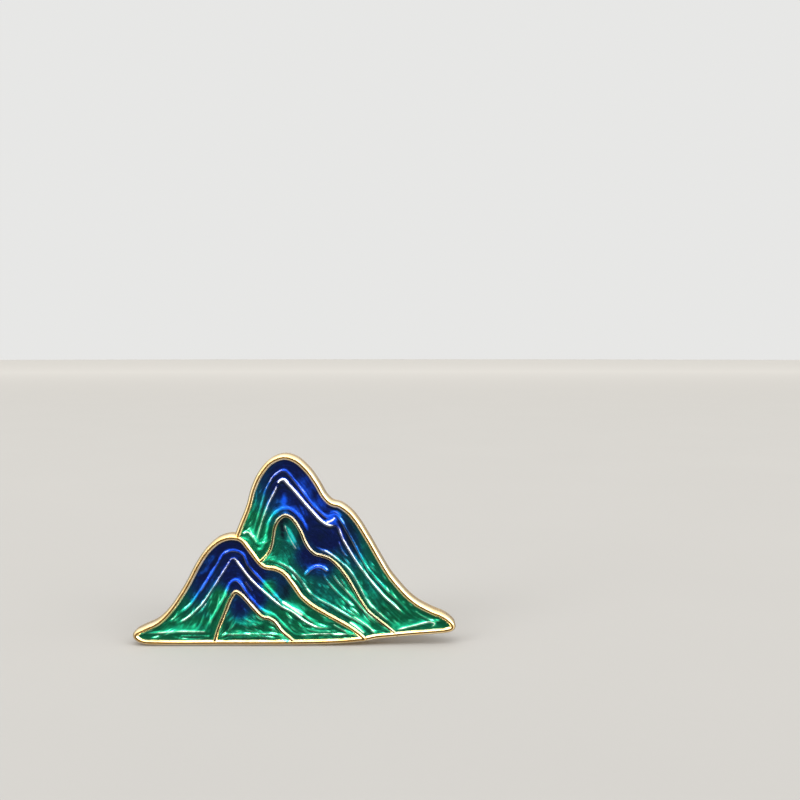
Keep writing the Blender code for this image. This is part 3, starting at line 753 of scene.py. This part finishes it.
badge_piece(fill(
    "enamel_small_peak", (small_arc, [small_arc[0], small_top, small_arc[-1]]),
    (bottom[left_foot:right_foot + 1],
     [bottom[left_foot], (-6.0, -10.65), bottom[right_foot]]),
    (110, 150), SMALL_LINES,
    blue=[(-6.4, -6.2, 1.5, 1.7, 1.0)],
    painted_light_spots=[(-6.0, -8.0, 1.6, 0.7, 0.35), (-5.6, -9.6, 2.4, 0.4, 0.3),
           (-8.0, -9.0, 0.4, 1.4, -0.5)], strokes=56, seed=31),
    ENAMEL, "enamel_front_small_peak")

fork = cut_at(front_wall, inner_wall[TRIM])
tip = cut_at(back_line, right_tip)
back_arc = back_line[TRIM + 1:tip + 1]
base = back_line[tip:]
back_floor = np.vstack([front_wall[cut_at(front_wall, (-6.5, 1.8)):fork],
                        inner_wall[TRIM:cut_at(inner_wall, inner_foot)],
                        base[:cut_at(base, inner_foot)][::-1]])
badge_piece(fill(
    "enamel_back", (back_arc, [back_arc[0], (-3.9, 9.6), (0.2, 11.1), (9.2, 1.4),
                               (13.7, -5.0), back_arc[-1]]),
    (back_floor, [back_floor[0], inner_wall[TRIM], inner_top, (4.3, -0.5), (11.2, -8.9),
                  back_floor[-1]]),
    (90, 60, 120, 120, 90), BACK_LINES,
    blue=[(-0.6, 9.0, 3.8, 4.4, 1.2), (2.6, 5.2, 3.0, 3.4, 1.0), (5.0, 2.2, 2.2, 2.6, 0.8),
          (7.4, 0.2, 1.6, 3.4, 0.4), (-4.8, 2.6, 1.3, 1.8, -0.7), (3.0, 2.0, 1.8, 2.2, 0.6),
          (9.6, -3.6, 1.4, 2.6, 0.2)],
    painted_light_spots=[(-1.1, 6.5, 0.4, 0.8, 0.9), (-1.0, 5.2, 1.6, 0.9, 0.45), (-5.0, 2.3, 0.9, 0.9, 0.6),
           (-3.9, 1.4, 0.7, 0.8, 0.4), (4.7, 4.2, 0.9, 0.6, 1.0), (1.1, 5.0, 0.8, 0.8, 0.3),
           (1.4, 7.9, 1.0, 1.4, 0.5), (3.2, 6.0, 1.0, 1.2, 0.5), (-2.6, 8.6, 0.8, 2.0, -0.2),
           (-1.1, 7.9, 0.7, 0.6, -0.4), (3.0, 2.6, 1.2, 1.4, -0.3), (6.8, 2.6, 0.8, 2.6, -0.4),
           (9.4, -4.6, 0.9, 1.6, 0.3), (12.5, -8.6, 1.6, 0.6, 0.5), (15.2, -8.2, 1.4, 0.5, 0.4)],
    strokes=80, seed=51),
    ENAMEL, "enamel_back_mountain")

inner_arc = inner_wall[TRIM:-TRIM]
inner_floor = np.vstack([front_wall[fork:cut_at(front_wall, notch)],
                         base[cut_at(base, inner_foot):cut_at(base, notch)][::-1]])
badge_piece(fill(
    "enamel_inner_peak", (inner_arc, [inner_arc[0], inner_top, (4.2, -0.5), (8.8, -6.85),
                                      inner_arc[-1]]),
    (inner_floor, [inner_floor[0], (-2.4, -1.65), (1.4, -5.5), notch, inner_floor[-1]]),
    (110, 110, 120, 70), INNER_LINES,
    blue=[(3.0, -0.8, 2.2, 1.9, 1.1), (1.4, -0.2, 1.0, 1.2, 0.5), (0.0, 2.2, 3.0, 3.0, 0.3),
          (3.6, -5.0, 3.0, 2.4, 0.25)],
    painted_light_spots=[(-0.4, 2.0, 0.6, 1.2, 0.5), (-1.2, 3.6, 0.8, 1.4, -0.6), (0.9, 2.2, 0.6, 1.6, -0.5),
           (2.7, -1.6, 0.9, 0.5, 0.5), (-1.6, -0.6, 1.2, 0.8, 0.45), (8.2, -8.2, 1.0, 0.8, 0.7),
           (3.4, -5.0, 1.4, 1.2, 0.2), (6.0, -5.6, 1.6, 1.4, 0.3)],
    strokes=60, seed=71),
    ENAMEL, "enamel_back_inner_peak")


# ---------------------------------------------------------------- needle posts
# Two plated steel needles with flat heads, soldered to the back of the casting. Each needle is
# turned with a groove near its point, which the jaws of a clutch snap into.

SIDES = ("left", "right")
POST_LENGTH = 8.2
POST_RADIUS = 0.55
NECK_RADIUS = 0.53          # on either side of the groove, where its edges are broken
POST_HEAD_RADIUS = 1.6
HEAD_TOP = 0.28
GROOVE = POST_LENGTH - 2.135
SEAT = 0.03                 # of the heads and the solder, above the back of the casting
SOLDER_BORE = 1.63
SOLDER_RADIUS = 2.3

NEEDLE_DARK = (0.86, 0.68, 0.42)
NEEDLE_LIGHT = (0.95, 0.80, 0.55)
SOLDER_DARK = (0.42, 0.40, 0.37)
SOLDER_LIGHT = (0.72, 0.69, 0.63)


def turned(name, profile, middle, steps=96):
    """A (radius, distance back) profile turned around an axis along +Y through a middle."""
    profile = np.array(profile)
    turn = np.linspace(0, 2 * math.pi, steps, endpoint=False)
    grid = np.empty((len(profile), steps, 3))
    grid[..., 0] = middle[0] + profile[:, 0, None] * np.cos(turn)
    grid[..., 1] = profile[:, 1, None]
    grid[..., 2] = middle[2] + profile[:, 0, None] * np.sin(turn)
    return skin(name, grid)


def arc(center, radius, start, end, count=7):
    """Points of a circular arc in a profile, from one angle in degrees to another."""
    angle = np.radians(np.linspace(start, end, count))
    return [(center[0] + radius * math.cos(a), center[1] + radius * math.sin(a)) for a in angle]


def needle_metal():
    """Turned and plated steel, with fine rings left by the tool."""
    made, pen, link = finish("needle_metal", {"Metallic": 1.0})
    rings = pen.noise(0.6, detail=3.0, stretch=(0.15, 9.0, 0.15))
    cloud = pen.noise(1.2)
    link(Base_Color=cloud.ramp(0.3, 0.7).mixed(NEEDLE_DARK, NEEDLE_LIGHT),
         Roughness=0.14 + 0.16 * rings,
         Normal=pen.bump(rings, 0.008))
    return made


def solder_metal():
    """Dull grey solder, with the small pits and ripples of a cooled fillet."""
    made, pen, link = finish("solder_metal", {"Metallic": 1.0})
    pits = pen.noise(0.3, detail=4.0)
    link(Base_Color=pits.ramp(0.3, 0.7).mixed(SOLDER_DARK, SOLDER_LIGHT),
         Roughness=0.30 + 0.3 * pits,
         Normal=pen.bump(pits, 0.07))
    return made


NEEDLE_METAL = needle_metal()
SOLDER_METAL = solder_metal()
needle_profile = (
    [(0.0, POST_LENGTH), (0.07, POST_LENGTH - 0.02), (0.13, POST_LENGTH - 0.09),
     (0.2, POST_LENGTH - 0.24), (NECK_RADIUS, POST_LENGTH - 1.24),
     (POST_RADIUS, POST_LENGTH - 1.36), (POST_RADIUS, GROOVE + 0.255),
     (NECK_RADIUS, GROOVE + 0.215)]
    + arc((POST_RADIUS + 0.05, GROOVE), 0.19, 110, 250)
    + [(NECK_RADIUS, GROOVE - 0.215), (POST_RADIUS, GROOVE - 0.255),
       (POST_RADIUS, HEAD_TOP + 0.2)]
    + arc((POST_RADIUS + 0.2, HEAD_TOP + 0.2), 0.2, 180, 270)
    + [(POST_HEAD_RADIUS - 0.06, HEAD_TOP), (POST_HEAD_RADIUS - 0.015, HEAD_TOP - 0.02),
       (POST_HEAD_RADIUS, HEAD_TOP - 0.06), (POST_HEAD_RADIUS, SEAT), (0.0, SEAT)])
solder_profile = [(SOLDER_BORE, SEAT), (SOLDER_BORE, 0.31), (1.68, 0.33), (1.76, 0.32),
                  (1.86, 0.25), (2.0, 0.15), (2.14, 0.085), (2.25, 0.06), (SOLDER_RADIUS, 0.04),
                  (SOLDER_RADIUS, SEAT)]


def post_axis(side):
    """Where a post's axis crosses the back of the casting, in millimetres."""
    low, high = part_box(f"{side}_needle_post")
    return [(low[k] + high[k]) / 2 / MM for k in range(3)]


for side in SIDES:
    middle = post_axis(side)
    needle = closed_skin(turned(f"{side}_needle", needle_profile, middle))
    badge_piece(needle, NEEDLE_METAL, f"{side}_needle_post")
    fillet = closed_skin(turned(f"{side}_solder_fillet", solder_profile, middle))
    badge_piece(fillet, SOLDER_METAL, f"{side}_solder_ring")


# ---------------------------------------------------------------- clutch caps
# The drawn brass cups of two butterfly clutches, plated. Each is a shallow dish with a rolled
# lip, a raised ring pressed into its face, and a funnelled hole that the needle finds.

CAP_FACE = 2.3              # its outer face, from the back of the casting
CAP_RADIUS = 5.4
CAP_WALL = 0.3
CAP_RIM = CAP_FACE + 2.4
BRASS_DARK = (0.84, 0.60, 0.29)
BRASS_LIGHT = (0.97, 0.75, 0.43)


def clutch_brass():
    """Stamped and plated brass: fine drawing marks around the wall, and soft handling wear."""
    made, pen, link = finish("clutch_brass", {"Metallic": 1.0})
    marks = pen.noise(1.4, detail=3.0, stretch=(0.5, 14.0, 0.5))
    cloud = pen.noise(2.2, detail=3.0)
    grain = pen.noise(0.12)
    link(Base_Color=cloud.ramp(0.3, 0.7).mixed(BRASS_DARK, BRASS_LIGHT),
         Roughness=0.18 + 0.12 * cloud + 0.1 * grain,
         Normal=pen.bump(marks + 0.25 * grain, 0.014))
    return made


CLUTCH_BRASS = clutch_brass()
inside = CAP_RADIUS - CAP_WALL
cap_profile = (
    [(0.78, CAP_FACE + CAP_WALL), (0.76, CAP_FACE + 0.2), (0.77, CAP_FACE + 0.12)]
    + arc((1.02, CAP_FACE + 0.22), 0.22, 200, 270, 5)
    + [(1.5, CAP_FACE), (2.3, CAP_FACE + 0.02), (2.45, CAP_FACE + 0.1), (2.6, CAP_FACE + 0.14),
       (2.75, CAP_FACE + 0.1), (2.9, CAP_FACE + 0.02), (3.2, CAP_FACE)]
    + arc((CAP_RADIUS - 0.62, CAP_FACE + 0.62), 0.62, 270, 360, 9)
    + [(CAP_RADIUS, CAP_RIM - 0.16)]
    + arc((CAP_RADIUS - 0.15, CAP_RIM - 0.15), 0.15, 0, 180, 9)
    + [(inside, CAP_RIM - 0.3), (inside, CAP_FACE + 0.66)]
    + arc((inside - 0.36, CAP_FACE + CAP_WALL + 0.36), 0.36, 0, -90, 6)
    + [(3.4, CAP_FACE + CAP_WALL), (2.0, CAP_FACE + CAP_WALL)])
for side in SIDES:
    cap = closed_skin(turned(f"{side}_cap", cap_profile, post_axis(side), steps=160))
    cap.data.materials.append(CLUTCH_BRASS)
    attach(cap, f"{side}_clutch")
    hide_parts(f"{side}_clutch_cap")


# ---------------------------------------------------------------- clutch springs
# One strip of spring brass in each cap: a bridge on the floor of the cap, and two wings with
# notched jaws that grip the needle and rounded ears that the fingers squeeze. Their stamped
# edges are broken by tumbling.

BROKEN_EDGE = 0.045


def stamped(name, node):
    """A copy of a solid with its corners welded and its edges rounded by a small bevel."""
    made = bpy.data.objects.new(name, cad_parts[node].data.copy())
    bpy.context.scene.collection.objects.link(made)
    made.data.materials.clear()
    made.data.materials.append(CLUTCH_BRASS)
    closed_skin(made, crease=40)
    edges = made.modifiers.new("broken_edges", "BEVEL")
    edges.width = BROKEN_EDGE * MM
    edges.segments = 2
    edges.limit_method = "ANGLE"
    edges.angle_limit = math.radians(50)
    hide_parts(node)
    return made


for side in SIDES:
    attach(stamped(f"{side}_bridge", f"{side}_clutch_spring_bridge"), f"{side}_clutch")
    for letter in "ab":
        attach(stamped(f"{side}_wing_leaf_{letter}", f"{side}_clutch_wing_{letter}"),
                f"{side}_wing_{letter}")


# ---------------------------------------------------------------- floor, light and camera
# A pale matt table, an arch of three soft boxes above and in front of the pin, and one at its
# right. The studio has pale walls and a brighter sky, and is dim in front of the enamel and
# at dusk behind the pin.

TABLE_RADIUS = 4000.0
TABLE_GAP = 0.02            # between the table and the pin's lowest edge
TABLE_NEAR = (0.13, 0.13, 0.129)
TABLE_FAR = (0.57, 0.57, 0.565)
LEFT_WALL = (1.45, 1.37, 1.22)
RIGHT_WALL = (1.25, 1.21, 1.14)
SKY = (2.1, 2.02, 1.88)
DUSK_LOW = (0.30, 0.29, 0.28)
DUSK_HIGH = (1.1, 1.07, 1.02)
DIM_FRONT = (0.05, 0.042, 0.035)
BACKDROP = (0.80, 0.80, 0.79)
ARCH_RADIUS = 0.86          # in metres, as all places and sizes of the soft boxes
ARCH_FORWARD = 0.62
ARCH_BOX = (0.74, 0.44)
ARCH_RADIANCE = 9.0
RIGHT_PLACE = (1.05, -0.2, 0.45)
RIGHT_BOX = (0.62, 0.62)
RIGHT_RADIANCE = 3.0


def table():
    """A pale matt table, only seen directly, so that reflections meet the studio's walls.

    Its paint is darker below the lights and paler with distance, so that it looks even.
    """
    turn = np.linspace(0, 2 * math.pi, 64, endpoint=False)
    size = np.array([[0.01], [TABLE_RADIUS]])
    level = cad_box[0][2] / MM - TABLE_GAP
    made = skin("table", np.stack([size * np.cos(turn), size * np.sin(turn),
                                   np.full((2, len(turn)), level)], axis=2))
    look, pen, link = finish("table_paint", {"Roughness": 0.85})
    place = pen.node("ShaderNodeTexCoord", {}, {}, output=3)
    place = pen.node("ShaderNodeMapping", {}, {"Vector": place, "Location": (-0.15, 0.45, 0.0),
                                               "Scale": (0.6, 1.0, 1.0)})
    far = pen.node("ShaderNodeVectorMath", {"operation": "LENGTH"}, {0: place}, output=1)
    shade = 0.51 * far + 0.02 * pen.noise(40.0)
    link(Base_Color=shade.mixed(TABLE_NEAR, TABLE_FAR))
    made.data.materials.append(look)
    made.visible_glossy = False
    made.visible_diffuse = False
    made.visible_shadow = False
    return made


table()


def soft_box(name, place, size, radiance, color):
    """A rectangular light of a given radiance, facing the pin, with its width level with it."""
    lamp = bpy.data.lights.new(name, "AREA")
    lamp.shape = "RECTANGLE"
    lamp.size = size[0]
    lamp.size_y = size[1]
    lamp.energy = radiance * math.pi * size[0] * size[1]
    lamp.color = color
    made = bpy.data.objects.new(name, lamp)
    bpy.context.scene.collection.objects.link(made)
    away = Vector(place).normalized()
    wide = Vector((0, 1, 0)).cross(away).normalized()
    made.matrix_world = Matrix((wide, away.cross(wide), away)).transposed().to_4x4()
    made.location = place
    made.visible_camera = False


for k, fan in enumerate((-50, 0, 50)):
    lean = math.radians(fan)
    place = (ARCH_RADIUS * math.sin(lean), -ARCH_FORWARD, ARCH_RADIUS * math.cos(lean))
    soft_box(f"soft_box_{k}", place, ARCH_BOX, ARCH_RADIANCE, (1.0, 0.98, 0.95))
soft_box("soft_box_right", RIGHT_PLACE, RIGHT_BOX, RIGHT_RADIANCE, (1.0, 0.97, 0.93))

world = bpy.data.worlds.new("studio")
bpy.context.scene.world = world
world.use_nodes = True
air = Value(world.node_tree)
place = air.node("ShaderNodeTexCoord", {}, {}, output=0)
side, depth, up = (air.node("ShaderNodeSeparateXYZ", {}, {0: place}, output=k) for k in range(3))
front = (0 - depth).ramp(0.3, 0.8)
pale = side.ramp(-0.7, 0.7).mixed(LEFT_WALL, RIGHT_WALL)
pale = (up + 0.2 * side).ramp(0.4, 0.9).mixed(pale, SKY)
behind = depth.ramp(0.0, 0.45)
dusk = up.ramp(-0.1, 0.9).mixed(DUSK_LOW, DUSK_HIGH)
walls = front.mixed(behind.mixed(pale, dusk), DIM_FRONT)
is_camera = air.node("ShaderNodeLightPath", {}, {}, output=0)
seen = is_camera.mixed(walls, BACKDROP)
background = world.node_tree.nodes["Background"]
world.node_tree.links.new(seen.socket, background.inputs["Color"])

camera = bpy.data.cameras.new("camera")
camera.sensor_width = 36.0
camera.lens = 41.85
camera.clip_start = 0.005
viewer = bpy.data.objects.new("camera", camera)
bpy.context.scene.collection.objects.link(viewer)
viewer.location = (0.0126, -0.11073, 0.02398)
viewer.rotation_euler = (math.radians(87.0), 0.0, 0.0)
bpy.context.scene.camera = viewer
bpy.context.scene.view_settings.view_transform = "Standard"
